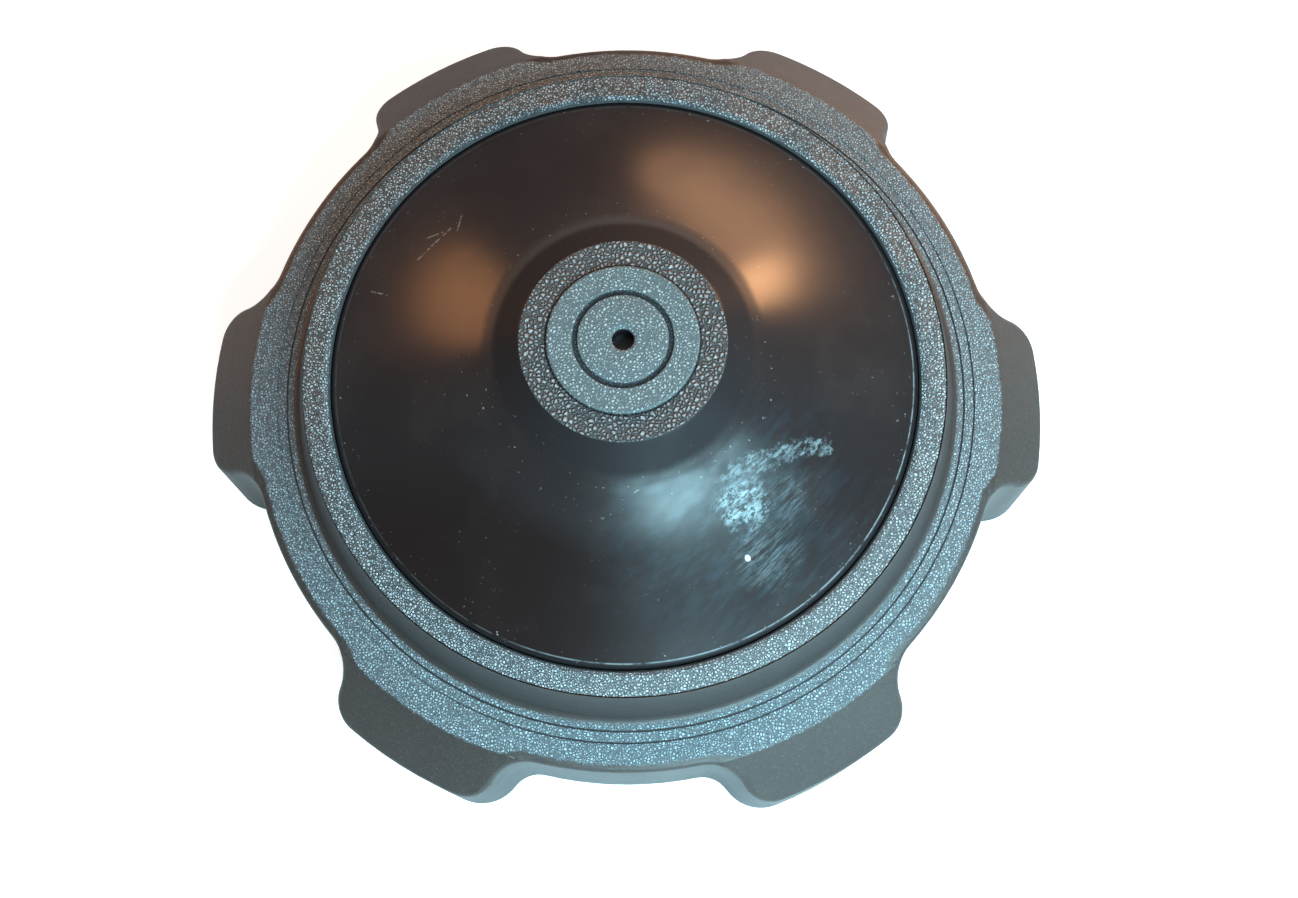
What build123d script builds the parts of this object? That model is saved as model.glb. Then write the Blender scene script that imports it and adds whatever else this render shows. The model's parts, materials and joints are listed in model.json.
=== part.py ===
from build123d import *
import os
from math import acos, atan2, cos, hypot, pi, radians, sin, tan

# Screw-on fuel filler cap, vented both ways. Millimetres, +Z up along the cap's axis.
# The origin is the centre of the skirt's bottom plane.

# ---- grip shell: skirt and bore ----
thread_bore_radius = 44.45      # 3 1/2 inch neck thread
thread_bore_top_z = 11.0
mouth_chamfer = 0.8
skirt_wall = 3.25               # bore to outside between lobes, at the shoulder edge
valley_radius = thread_bore_radius + skirt_wall
lobe_count = 6
lobe_depth = 6.3                # how far a lobe stands out from the skirt
lobe_radius = valley_radius + lobe_depth
lobe_corner_radius = 4.3
valley_fillet_radius = 5.2
lobe_corner_angle = 8.1         # from a lobe's middle to the centre of its corner arc
wall_draft = 5.0                # degrees, wider towards the mouth

# ---- grip shell: shoulder and deck ----
shoulder_edge_z = 15.0          # height where a lobe's wall meets the sloping shoulder
deck_edge_inset = 0.3           # from the skirt's outside to the edge of the deck
deck_edge_radius = valley_radius - deck_edge_inset
shoulder_rise = 5.85            # from the shoulder edge up to the deck's edge
deck_edge_z = shoulder_edge_z + shoulder_rise
deck_slope = 12.5               # degrees, rising inwards
top_edge_round = 0.9

# ---- grip shell: raised rim that holds the dome ----
deck_width = 6.4
cove_width = 2.2                # the rim's wall leans in by this much from foot to top
rim_width = 3.15
rim_foot_radius = deck_edge_radius - deck_width
rim_outer_radius = rim_foot_radius - cove_width
rim_inner_radius = rim_outer_radius - rim_width
rim_height = 8.35               # above the deck's edge
rim_dip = 0.75                  # the rim's top falls inwards by this much
rim_outer_z = deck_edge_z + rim_height
rim_inner_z = rim_outer_z - rim_dip
rim_foot_fillet = 1.3
rim_lip_chamfer = 0.35

# ---- grip shell: inside ----
gasket_land_step = 1.25         # from the thread's bore in to the gasket's recess
gasket_land_radius = thread_bore_radius - gasket_land_step
deck_thickness = 2.45           # at the deck's edge
floor_thickness = 2.8
seal_deck_z = deck_edge_z - deck_thickness      # underside that the gasket stack bears on
floor_top_z = seal_deck_z + floor_thickness
centring_rib_wall = 1.6
centring_rib_depth = 5.0
centring_rib_bottom_z = seal_deck_z - centring_rib_depth
vent_opening_radius = 16.0
lobe_wall = 2.6
thread_sleeve_wall = 2.8
lobe_rib_width = 1.8
lobe_rib_recess = 3.0           # how far the rib stops above the mouth

# ---- dome insert ----
dome_clearance = 0.15
dome_wall = 2.2
dome_corner_share = 0.6         # thickness left in the outer corner, as a share of the wall
dome_edge_drop = 0.25
boss_base_radius = 15.8
boss_top_radius = 11.6
boss_height = 3.65
boss_bevel_width = 0.4
boss_bevel_height = 0.3
dish_sag = 1.0                  # how far the dish hollows below a straight cone
vent_hole_radius = 1.25
vent_countersink = 0.25
medallion_radius = 8.6
medallion_height = 0.5
medallion_chamfer = 0.2
medallion_ring_radius = 5.4
medallion_ring_half_width = 0.3
medallion_ring_depth = 0.3
snap_bead_rise = 3.0            # above the floor under the dome
snap_bead_height = 1.2
snap_bead_reach = 0.45
snap_groove_clearance = 0.1

# ---- seals ----
dome_seal_thickness = 0.8
slip_washer_thickness = 0.5
gasket_thickness = 3.0
gasket_width = 8.9
gasket_side_clearance = 0.3
gasket_inner_clearance = 0.4
housing_seal_thickness = 1.0

# ---- valve housing and the cover above it ----
housing_clearance = 0.4
housing_wall = 1.8
flange_edge = 3.8               # from a screw's axis to the flange's rim
housing_flange_thickness = 2.5
housing_floor_depth = 4.4       # below the shell's underside
housing_floor_thickness = 2.0
port_radius = 7.0
seat_lip_radius = 8.1
seat_lip_width = 1.0
seat_lip_height = 1.0
guide_rib_count = 4
guide_rib_width = 2.0
guide_rib_clearance = 0.2
guide_rib_drop = 0.9            # how far the ribs stop below the retainer
cover_wall = 1.2
cover_gap = 0.8
cover_headroom = 3.85           # from the cover up to the baffle
cover_flange_thickness = 2.2
cover_window_count = 4
cover_window_width = 6.0
cover_window_height = 3.0

# ---- cover screws ----
screw_count = 3
screw_circle_radius = 21.2
screw_first_angle = 45.0
screw_shank_radius = 1.25
screw_fit = 0.05
screw_head_radius = 2.7
screw_head_height = 1.7
screw_boss_radius = 2.9
screw_boss_height = 3.6
screw_tip_clearance = 0.6

# ---- valves ----
valve_gap = 0.1                 # running gap where a valve closes
seal_thickness = 1.0
seal_inner_radius = 4.9
seal_outer_radius = 9.4
pressure_disc_gap = 1.2         # round the disc, inside the housing's bore
pressure_disc_thickness = 2.0
hub_radius = 2.8
hub_height = 2.5
stem_radius = 1.5
stem_fit = 0.06
vent_port_count = 4
vent_port_radius = 0.9
vent_port_circle_radius = 3.8
poppet_head_radius = 6.2
poppet_head_thickness = 1.3
poppet_lip_width = 0.7
poppet_lip_height = 0.7
clip_radius = 4.9
clip_thickness = 0.8
clip_groove_depth = 0.4
stem_end_length = 1.2

# ---- springs ----
wire_sides = 4                  # square-section wire
pressure_spring_inset = 2.0     # from the disc's edge to the coil's middle line
pressure_spring_wire = 0.9
pressure_spring_turns = 3
pressure_spring_length = 7.8
vacuum_spring_radius = 3.6
vacuum_spring_wire = 0.6
vacuum_spring_turns = 3
vacuum_spring_length = 4.4

# ---- spring retainer, screen, filter, splash plate, vent baffle ----
retainer_thickness = 1.2
retainer_fit = 0.08
retainer_shelf = 0.8
retainer_hole_count = 6
retainer_hole_radius = 1.5
retainer_hole_circle_radius = 7.0
retainer_stem_hole_radius = 2.4
screen_thickness = 0.3
filter_thickness = 2.8
splash_plate_radius = 11.5
splash_plate_thickness = 1.1
splash_plate_drop = 2.4         # below the housing's floor
splash_post_count = 3
splash_post_first_angle = 30.0
splash_post_radius = 1.3
splash_post_circle_radius = 9.4
baffle_radius = 6.8
baffle_thickness = 1.0
baffle_leg_height = 1.2
baffle_leg_width = 1.1
baffle_leg_count = 3
baffle_slot_width = 5.0

# ---- working allowances ----
overshoot = 1.0                 # how far a cutting body runs past the face it cuts
root = 0.5                      # how far an added body is sunk into the one it joins
on_base = (Align.CENTER, Align.CENTER, Align.MIN)


def ring(outer, inner, bottom, top):
    """A flat ring about the Z axis, or a disc where inner is 0."""
    body = Pos(0, 0, bottom) * Cylinder(outer, top - bottom, align=on_base)
    if inner > 0:
        body = body - Pos(0, 0, bottom) * Cylinder(inner, top - bottom, align=on_base)
    return body


def turned(points):
    """A solid of revolution about Z from a closed (radius, height) outline."""
    return revolve(Plane.XZ * make_face(Polyline(*points, close=True)), Axis.Z)


def around(shape, count, start=0.0):
    """Copies of a shape spaced evenly about Z."""
    return [Rot(0, 0, start + 360 * i / count) * shape for i in range(count)]


def lobed_outline(offset):
    """The six-lobed outline as a face; each flank is a convex corner running into a concave valley."""
    lobe_r = lobe_radius + offset
    valley_r = valley_radius + offset
    corner_r = lobe_corner_radius + offset
    fillet_r = valley_fillet_radius - offset
    corner_reach = lobe_radius - lobe_corner_radius
    valley_reach = valley_radius + valley_fillet_radius
    apart = lobe_corner_radius + valley_fillet_radius
    corner_a = radians(lobe_corner_angle)
    valley_a = corner_a + acos((corner_reach**2 + valley_reach**2 - apart**2)
                               / (2 * corner_reach * valley_reach))
    corner_c = (corner_reach * cos(corner_a), corner_reach * sin(corner_a))
    valley_c = (valley_reach * cos(valley_a), valley_reach * sin(valley_a))
    lean = atan2(valley_c[1] - corner_c[1], valley_c[0] - corner_c[0])

    def at(centre, radius, angle):
        return (centre[0] + radius * cos(angle), centre[1] + radius * sin(angle))

    def mirrored(point):
        return (point[0], -point[1])

    def turn(point, angle):
        x, y = point
        return (x * cos(angle) - y * sin(angle), x * sin(angle) + y * cos(angle))

    corner_start = at((0, 0), lobe_r, corner_a)
    corner_mid = at(corner_c, corner_r, (corner_a + lean) / 2)
    joint = at(corner_c, corner_r, lean)
    fillet_mid = at(valley_c, fillet_r, pi + (lean + valley_a) / 2)
    fillet_end = at((0, 0), valley_r, valley_a)
    step = 2 * pi / lobe_count
    next_fillet_end = turn(mirrored(fillet_end), step)
    next_fillet_mid = turn(mirrored(fillet_mid), step)
    next_joint = turn(mirrored(joint), step)
    next_corner_mid = turn(mirrored(corner_mid), step)
    next_corner_start = turn(mirrored(corner_start), step)
    arcs = [
        (mirrored(corner_start), (lobe_r, 0), corner_start),
        (corner_start, corner_mid, joint),
        (joint, fillet_mid, fillet_end),
        (fillet_end, at((0, 0), valley_r, step / 2), next_fillet_end),
        (next_fillet_end, next_fillet_mid, next_joint),
        (next_joint, next_corner_mid, next_corner_start),
    ]
    edges = []
    for i in range(lobe_count):
        edges += [ThreePointArc(*[turn(p, step * i) for p in arc]) for arc in arcs]
    return make_face(Wire(edges))


def lobed_prism(inset, bottom, top):
    """The drafted lobed column, inset from the outer wall and cut off at two heights."""
    slope = tan(radians(wall_draft))
    face = lobed_outline((shoulder_edge_z - bottom) * slope - inset)
    return extrude(Pos(0, 0, bottom) * face, amount=top - bottom, taper=wall_draft, dir=(0, 0, 1))


# ---- derived sizes: gasket, shoulder, dome edge ----
gasket_outer = gasket_land_radius - gasket_side_clearance
gasket_inner = gasket_outer - gasket_width
gasket_top_z = seal_deck_z - slip_washer_thickness
centring_rib_outer_radius = gasket_inner - gasket_inner_clearance
shoulder_slope = shoulder_rise / (lobe_radius - deck_edge_radius)
widest_radius = lobe_radius + shoulder_edge_z * tan(radians(wall_draft)) + 2 * overshoot
rim_foot_z = deck_edge_z + deck_width * tan(radians(deck_slope))
dome_edge_radius = rim_inner_radius - dome_clearance
dome_edge_z = rim_inner_z - dome_edge_drop
dome_skirt_z = floor_top_z + dome_seal_thickness
snap_bead_z = floor_top_z + snap_bead_rise

# ---- derived sizes: the stack from the valve housing's floor up to the top of the boss ----
housing_radius = vent_opening_radius - housing_clearance
housing_bore_radius = housing_radius - housing_wall
housing_flange_radius = screw_circle_radius + flange_edge
pressure_disc_radius = housing_bore_radius - pressure_disc_gap
pressure_spring_radius = pressure_disc_radius - pressure_spring_inset
flange_top_z = seal_deck_z - housing_seal_thickness
flange_bottom_z = flange_top_z - housing_flange_thickness
housing_floor_z = seal_deck_z - housing_floor_depth
floor_inner_z = housing_floor_z + housing_floor_thickness
splash_plate_z = housing_floor_z - splash_plate_drop
seat_z = floor_inner_z + seat_lip_height
seal_bottom_z = seat_z + valve_gap
disc_bottom_z = seal_bottom_z + seal_thickness
disc_top_z = disc_bottom_z + pressure_disc_thickness
clip_bottom_z = disc_top_z + vacuum_spring_length
retainer_bottom_z = disc_top_z + pressure_spring_length
retainer_top_z = retainer_bottom_z + retainer_thickness
retainer_radius = housing_bore_radius + retainer_shelf - retainer_fit
housing_top_z = retainer_top_z + screen_thickness
cover_inner_radius = housing_radius + cover_gap
cover_roof_z = housing_top_z + filter_thickness
cover_top_z = cover_roof_z + cover_wall
baffle_bottom_z = cover_top_z + cover_headroom
boss_roof_z = baffle_bottom_z + baffle_thickness + baffle_leg_height
boss_top_z = boss_roof_z + dome_wall
boss_base_z = boss_top_z - boss_height


def on_top_edge(edge):
    """True for the edges where the lobed wall meets the shoulder and deck, and where those two meet."""
    low = min(v.Z for v in edge.vertices())
    high = max(v.Z for v in edge.vertices())
    near = min(hypot(v.X, v.Y) for v in edge.vertices())
    return low > shoulder_edge_z - 0.1 and high < rim_foot_z and near > rim_foot_radius + rim_foot_fillet


def grip_shell():
    """Lobed moulding: draft prism trimmed by the turned shoulder, deck and rim, then cored out."""
    outer_drop = (widest_radius - lobe_radius) * shoulder_slope
    turned_outside = turned([
        (0, 0), (widest_radius, 0), (widest_radius, shoulder_edge_z - outer_drop),
        (deck_edge_radius, deck_edge_z), (rim_foot_radius, rim_foot_z),
        (rim_outer_radius, rim_outer_z), (rim_inner_radius - overshoot, rim_inner_z), (0, rim_inner_z)])
    foot_edges = [e for e in turned_outside.edges().filter_by(GeomType.CIRCLE)
                  if abs(e.radius - rim_foot_radius) < 0.01]
    turned_outside = fillet(foot_edges, rim_foot_fillet)
    body = lobed_prism(0, 0, rim_outer_z + overshoot) & turned_outside

    rounded = [e for e in body.edges() if on_top_edge(e)]
    body = fillet(rounded, top_edge_round)

    body -= ring(thread_bore_radius, 0, 0, thread_bore_top_z)
    body -= turned([(0, 0), (thread_bore_radius + mouth_chamfer, 0),
                    (thread_bore_radius, mouth_chamfer), (0, mouth_chamfer)])
    body -= ring(gasket_land_radius, 0, thread_bore_top_z, seal_deck_z)
    body -= ring(rim_inner_radius, 0, floor_top_z, rim_outer_z + overshoot)
    body -= turned([(rim_inner_radius - overshoot, rim_inner_z + overshoot),
                    (rim_inner_radius + rim_lip_chamfer + overshoot, rim_inner_z + overshoot),
                    (rim_inner_radius, rim_inner_z - rim_lip_chamfer),
                    (rim_inner_radius - overshoot, rim_inner_z - rim_lip_chamfer)])
    groove_half = snap_bead_height / 2 + snap_groove_clearance
    groove_radius = rim_inner_radius + snap_bead_reach
    body -= ring(groove_radius, 0, snap_bead_z - groove_half, snap_bead_z + groove_half)
    body -= ring(vent_opening_radius, 0, seal_deck_z - overshoot, floor_top_z + overshoot)
    body += ring(centring_rib_outer_radius, centring_rib_outer_radius - centring_rib_wall,
                 centring_rib_bottom_z, seal_deck_z)

    sleeve_radius = thread_bore_radius + thread_sleeve_wall
    ceiling_drop = lobe_wall / cos(atan2(shoulder_slope, 1))
    core_ceiling = turned([
        (0, -overshoot), (widest_radius, -overshoot),
        (widest_radius, shoulder_edge_z - outer_drop - ceiling_drop),
        (deck_edge_radius, deck_edge_z - ceiling_drop), (0, deck_edge_z - ceiling_drop)])
    core = lobed_prism(lobe_wall, 0, deck_edge_z) & core_ceiling
    core -= ring(sleeve_radius, 0, -overshoot, deck_edge_z)
    rib = Pos(thread_bore_radius, 0, lobe_rib_recess) * Box(
        widest_radius - thread_bore_radius, lobe_rib_width, deck_edge_z - lobe_rib_recess,
        align=(Align.MIN, Align.CENTER, Align.MIN))
    for one in around(rib, lobe_count):
        core -= one
    body -= core

    hole = ring(screw_shank_radius + 2 * screw_fit, 0, seal_deck_z, floor_top_z)
    for one in around(Pos(screw_circle_radius, 0, 0) * hole, screw_count, screw_first_angle):
        body -= one
    return body


def dome_insert():
    """Glossy dished cap with its boss, snapped into the rim."""
    edge = (dome_edge_radius, dome_edge_z)
    base = (boss_base_radius, boss_base_z)
    shoulder = (boss_top_radius + boss_bevel_width, boss_top_z - boss_bevel_height)
    mid_r = (dome_edge_radius + boss_base_radius) / 2
    mid = (mid_r, (dome_edge_z + boss_base_z) / 2 - dish_sag)
    outside = [
        Line((0, dome_skirt_z), (dome_edge_radius, dome_skirt_z)),
        Line((dome_edge_radius, dome_skirt_z), edge),
        ThreePointArc(edge, mid, base),
        Line(base, shoulder),
        Line(shoulder, (boss_top_radius, boss_top_z)),
        Line((boss_top_radius, boss_top_z), (0, boss_top_z)),
        Line((0, boss_top_z), (0, dome_skirt_z)),
    ]
    body = revolve(Plane.XZ * make_face(Wire(outside)), Axis.Z)
    skirt_inner = dome_edge_radius - dome_wall
    inner_edge = (skirt_inner, dome_edge_z - dome_wall * dome_corner_share)
    inner_mid = (mid[0] - dome_wall / 2, mid[1] - dome_wall)
    inner_base = (base[0] - dome_wall / 2, base[1] - dome_wall)
    inner_roof = (boss_top_radius - dome_wall / 2, boss_roof_z)
    inside = [
        Line((0, dome_skirt_z - overshoot), (skirt_inner, dome_skirt_z - overshoot)),
        Line((skirt_inner, dome_skirt_z - overshoot), inner_edge),
        ThreePointArc(inner_edge, inner_mid, inner_base),
        Line(inner_base, inner_roof),
        Line(inner_roof, (0, boss_roof_z)),
        Line((0, boss_roof_z), (0, dome_skirt_z - overshoot)),
    ]
    body -= revolve(Plane.XZ * make_face(Wire(inside)), Axis.Z)
    bead_r = rim_inner_radius + snap_bead_reach - snap_groove_clearance
    bead_half = snap_bead_height / 2
    body += turned([(dome_edge_radius - root, snap_bead_z - bead_half),
                    (dome_edge_radius, snap_bead_z - bead_half),
                    (bead_r, snap_bead_z), (dome_edge_radius, snap_bead_z + bead_half),
                    (dome_edge_radius - root, snap_bead_z + bead_half)])
    medallion_top_z = boss_top_z + medallion_height
    pad = ring(medallion_radius, 0, boss_top_z, medallion_top_z)
    pad = chamfer(pad.edges().group_by(Axis.Z)[-1], medallion_chamfer)
    pad -= ring(medallion_ring_radius + medallion_ring_half_width,
                medallion_ring_radius - medallion_ring_half_width,
                medallion_top_z - medallion_ring_depth, medallion_top_z)
    body += pad
    body -= ring(vent_hole_radius, 0, boss_roof_z, medallion_top_z)
    sink_bottom_z = medallion_top_z - vent_countersink
    body -= turned([(0, sink_bottom_z), (vent_hole_radius, sink_bottom_z),
                    (vent_hole_radius + vent_countersink, medallion_top_z), (0, medallion_top_z)])
    return body


def valve_housing():
    """Cup with a bolting flange, a ported floor, a raised valve seat and guide ribs."""
    body = ring(housing_radius, 0, housing_floor_z, housing_top_z)
    body += ring(housing_flange_radius, 0, flange_bottom_z, flange_top_z)
    body -= ring(housing_bore_radius, 0, floor_inner_z, housing_top_z)
    rib_inner = pressure_disc_radius + guide_rib_clearance
    rib_reach = housing_bore_radius + root - rib_inner
    rib = Pos(rib_inner, 0, seat_z) * Box(
        rib_reach, guide_rib_width, retainer_bottom_z - guide_rib_drop - seat_z,
        align=(Align.MIN, Align.CENTER, Align.MIN))
    for one in around(rib, guide_rib_count):
        body += one
    body -= ring(housing_bore_radius + retainer_shelf, 0, retainer_bottom_z, housing_top_z)
    lip_half = seat_lip_width / 2
    body += ring(seat_lip_radius + lip_half, seat_lip_radius - lip_half, floor_inner_z, seat_z)
    body -= ring(port_radius, 0, housing_floor_z, floor_inner_z)
    screw_hole = ring(screw_shank_radius + 2 * screw_fit, 0, flange_bottom_z, flange_top_z)
    for one in around(Pos(screw_circle_radius, 0, 0) * screw_hole, screw_count, screw_first_angle):
        body -= one
    return body


def vent_cover():
    """Turned-up cup with side windows and a flange whose bosses take the screws."""
    outer = cover_inner_radius + cover_wall
    body = ring(outer, 0, floor_top_z, cover_top_z)
    body += ring(housing_flange_radius, 0, floor_top_z, floor_top_z + cover_flange_thickness)
    boss_top = floor_top_z + cover_flange_thickness + screw_boss_height
    boss = ring(screw_boss_radius, 0, floor_top_z, boss_top)
    for one in around(Pos(screw_circle_radius, 0, 0) * boss, screw_count, screw_first_angle):
        body += one
    body -= ring(cover_inner_radius, 0, floor_top_z, cover_roof_z)
    window = Pos(outer, 0, cover_roof_z - cover_window_height) * Box(
        4 * cover_wall, cover_window_width, cover_window_height, align=on_base)
    for one in around(window, cover_window_count):
        body -= one
    hole = ring(screw_shank_radius + screw_fit, 0, floor_top_z, boss_top - screw_tip_clearance)
    for one in around(Pos(screw_circle_radius, 0, 0) * hole, screw_count, screw_first_angle):
        body -= one
    return body


def cover_screws():
    """Screws driven up from below."""
    tip_z = floor_top_z + cover_flange_thickness + screw_boss_height - 2 * screw_tip_clearance
    head = ring(screw_head_radius, 0, flange_bottom_z - screw_head_height, flange_bottom_z)
    screw = head + ring(screw_shank_radius, 0, flange_bottom_z, tip_z)
    return Compound(children=around(Pos(screw_circle_radius, 0, 0) * screw, screw_count, screw_first_angle))


def flange_seal():
    """Flat ring between the housing's flange and the shell, with screw holes."""
    body = ring(housing_flange_radius, vent_opening_radius + housing_clearance, flange_top_z, seal_deck_z)
    hole = ring(screw_shank_radius + 2 * screw_fit, 0, flange_top_z, seal_deck_z)
    for one in around(Pos(screw_circle_radius, 0, 0) * hole, screw_count, screw_first_angle):
        body -= one
    return body


def pressure_valve():
    """Disc that lifts off the seat, with a hub for the vacuum valve's stem and ports round it."""
    body = ring(pressure_disc_radius, 0, disc_bottom_z, disc_top_z)
    body += ring(hub_radius, 0, disc_top_z, disc_top_z + hub_height)
    body -= ring(stem_radius + stem_fit, 0, disc_bottom_z, disc_top_z + hub_height)
    port = ring(vent_port_radius, 0, disc_bottom_z, disc_top_z)
    for one in around(Pos(vent_port_circle_radius, 0, 0) * port, vent_port_count):
        body -= one
    return body


def vacuum_poppet():
    """Mushroom valve whose lip closes on the same seal from below."""
    lip_top = seal_bottom_z - valve_gap
    head_top = lip_top - poppet_lip_height
    head_bottom = head_top - poppet_head_thickness
    body = ring(poppet_head_radius, 0, head_bottom, head_top)
    body += ring(poppet_head_radius, poppet_head_radius - poppet_lip_width, head_top, lip_top)
    stem_end = clip_bottom_z + clip_thickness + stem_end_length
    body += ring(stem_radius, 0, head_top, stem_end)
    body -= ring(stem_radius + overshoot, stem_radius - clip_groove_depth,
                 clip_bottom_z, clip_bottom_z + clip_thickness)
    return body


def coil(radius, wire, turns, bottom, length):
    """A compression spring standing between two heights."""
    rise = length - wire
    path = Pos(0, 0, bottom + wire / 2) * Helix(pitch=rise / turns, height=rise, radius=radius)
    section = Plane(origin=path @ 0, z_dir=path % 0, x_dir=(0, 0, 1)) * RegularPolygon(wire / 2, wire_sides)
    return sweep(section, path=path)


def spring_retainer():
    """Perforated disc on the housing's shelf that holds the pressure spring down."""
    body = ring(retainer_radius, retainer_stem_hole_radius, retainer_bottom_z, retainer_top_z)
    hole = ring(retainer_hole_radius, 0, retainer_bottom_z, retainer_top_z)
    for one in around(Pos(retainer_hole_circle_radius, 0, 0) * hole, retainer_hole_count):
        body -= one
    return body


def splash_plate():
    """Plate under the port that turns slopping fuel away, hung on three posts."""
    body = ring(splash_plate_radius, 0, splash_plate_z, splash_plate_z + splash_plate_thickness)
    post = ring(splash_post_radius, 0, splash_plate_z, housing_floor_z)
    post = Pos(splash_post_circle_radius, 0, 0) * post
    for one in around(post, splash_post_count, splash_post_first_angle):
        body += one
    return body


def vent_baffle():
    """Disc on short legs under the vent hole, so that water can't run straight in."""
    disc_top = baffle_bottom_z + baffle_thickness
    body = ring(baffle_radius, 0, baffle_bottom_z, disc_top)
    legs = ring(baffle_radius, baffle_radius - baffle_leg_width, disc_top, boss_roof_z)
    slot = Pos(baffle_radius, 0, disc_top) * Box(
        4 * baffle_leg_width, baffle_slot_width, baffle_leg_height, align=on_base)
    for one in around(slot, baffle_leg_count):
        legs -= one
    return body + legs


nodes = {
    "grip_shell": grip_shell(),
    "dome_insert": dome_insert(),
    "dome_seal": ring(dome_edge_radius, dome_edge_radius - dome_wall, floor_top_z, dome_skirt_z),
    "vent_baffle": vent_baffle(),
    "vent_cover": vent_cover(),
    "vent_filter": ring(housing_radius, 0, housing_top_z, cover_roof_z),
    "filter_screen": ring(retainer_radius, 0, retainer_top_z, housing_top_z),
    "spring_retainer": spring_retainer(),
    "valve_housing": valve_housing(),
    "housing_seal": flange_seal(),
    "cover_screws": cover_screws(),
    "pressure_valve": pressure_valve(),
    "valve_seal": ring(seal_outer_radius, seal_inner_radius, seal_bottom_z, disc_bottom_z),
    "pressure_spring": coil(pressure_spring_radius, pressure_spring_wire, pressure_spring_turns,
                            disc_top_z, pressure_spring_length),
    "vacuum_poppet": vacuum_poppet(),
    "vacuum_clip": ring(clip_radius, stem_radius - clip_groove_depth, clip_bottom_z,
                        clip_bottom_z + clip_thickness),
    "vacuum_spring": coil(vacuum_spring_radius, vacuum_spring_wire, vacuum_spring_turns,
                          disc_top_z, vacuum_spring_length),
    "splash_plate": splash_plate(),
    "neck_gasket": ring(gasket_outer, gasket_inner, gasket_top_z - gasket_thickness, gasket_top_z),
    "slip_washer": ring(gasket_outer, gasket_inner, gasket_top_z, seal_deck_z),
}

os.makedirs("parts", exist_ok=True)
for name, shape in nodes.items():
    export_step(shape, f"parts/{name}.step")
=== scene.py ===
import bpy
import json
from math import cos, pi, radians, sin, tan
from mathutils import Matrix, Vector


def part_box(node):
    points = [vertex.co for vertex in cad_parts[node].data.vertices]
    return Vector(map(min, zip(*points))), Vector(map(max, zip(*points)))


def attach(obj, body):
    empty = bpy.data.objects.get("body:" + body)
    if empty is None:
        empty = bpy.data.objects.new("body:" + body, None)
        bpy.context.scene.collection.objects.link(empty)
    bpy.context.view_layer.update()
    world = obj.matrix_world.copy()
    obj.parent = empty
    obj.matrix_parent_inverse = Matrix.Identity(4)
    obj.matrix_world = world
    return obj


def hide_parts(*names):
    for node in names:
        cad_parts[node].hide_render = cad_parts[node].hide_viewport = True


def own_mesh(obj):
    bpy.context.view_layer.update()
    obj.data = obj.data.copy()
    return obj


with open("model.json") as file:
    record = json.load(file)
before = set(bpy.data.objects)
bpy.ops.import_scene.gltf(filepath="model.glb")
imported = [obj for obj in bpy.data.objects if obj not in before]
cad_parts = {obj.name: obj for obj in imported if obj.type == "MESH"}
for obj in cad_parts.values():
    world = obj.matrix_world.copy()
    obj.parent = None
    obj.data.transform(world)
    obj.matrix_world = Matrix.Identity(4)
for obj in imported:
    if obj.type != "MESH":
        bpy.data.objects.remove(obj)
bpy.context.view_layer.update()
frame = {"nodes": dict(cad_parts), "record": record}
NODES = frame["nodes"]
MM = 0.001

# ---- sizes in metres: the dome's top comes from the frame, the others repeat the solids' ----
medallion_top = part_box("dome_insert")[1][2]
boss_top = medallion_top - 0.5 * MM
deck_edge = 47.4 * MM
deck_edge_between_lobes = 46.3 * MM
deck_edge_height = 20.85 * MM
deck_slope = radians(12.5)
deck_grooves = (42.39 * MM, 43.75 * MM)
deck_groove_width = 0.2 * MM
deck_groove_depth = 0.14 * MM
cove_end = 41.7 * MM
rim_outer = 38.8 * MM
rim_inner = 35.65 * MM
boss_radius = 11.6 * MM
boss_shoulder = 12.0 * MM
boss_base = 15.8 * MM
boss_base_top = 38.0 * MM
dome_edge = 35.5 * MM
dome_edge_top = 28.2 * MM
dome_skirt = 22.0 * MM
dome_wall = 2.2 * MM
dish_sag = 1.0 * MM
vent_hole = 1.25 * MM
medallion_radius = 8.6 * MM
medallion_groove = (5.1 * MM, 5.7 * MM)
bore_radius = 44.45 * MM
lobe_count = 6

# ---- heights over which a finish comes in, and how deep the grain is ----
deck_heights = (19.0 * MM, 19.6 * MM)
rim_heights = (27.9 * MM, 28.3 * MM)
lip_shade_heights = (27.9 * MM, 28.1 * MM)
boss_heights = (boss_top - 0.12 * MM, boss_top - 0.02 * MM)
grain_depth = 0.2 * MM

# ---- vertices nearer to each other than this are one ----
merge_distance = 0.002 * MM
fine_merge_distance = 0.001 * MM


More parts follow.
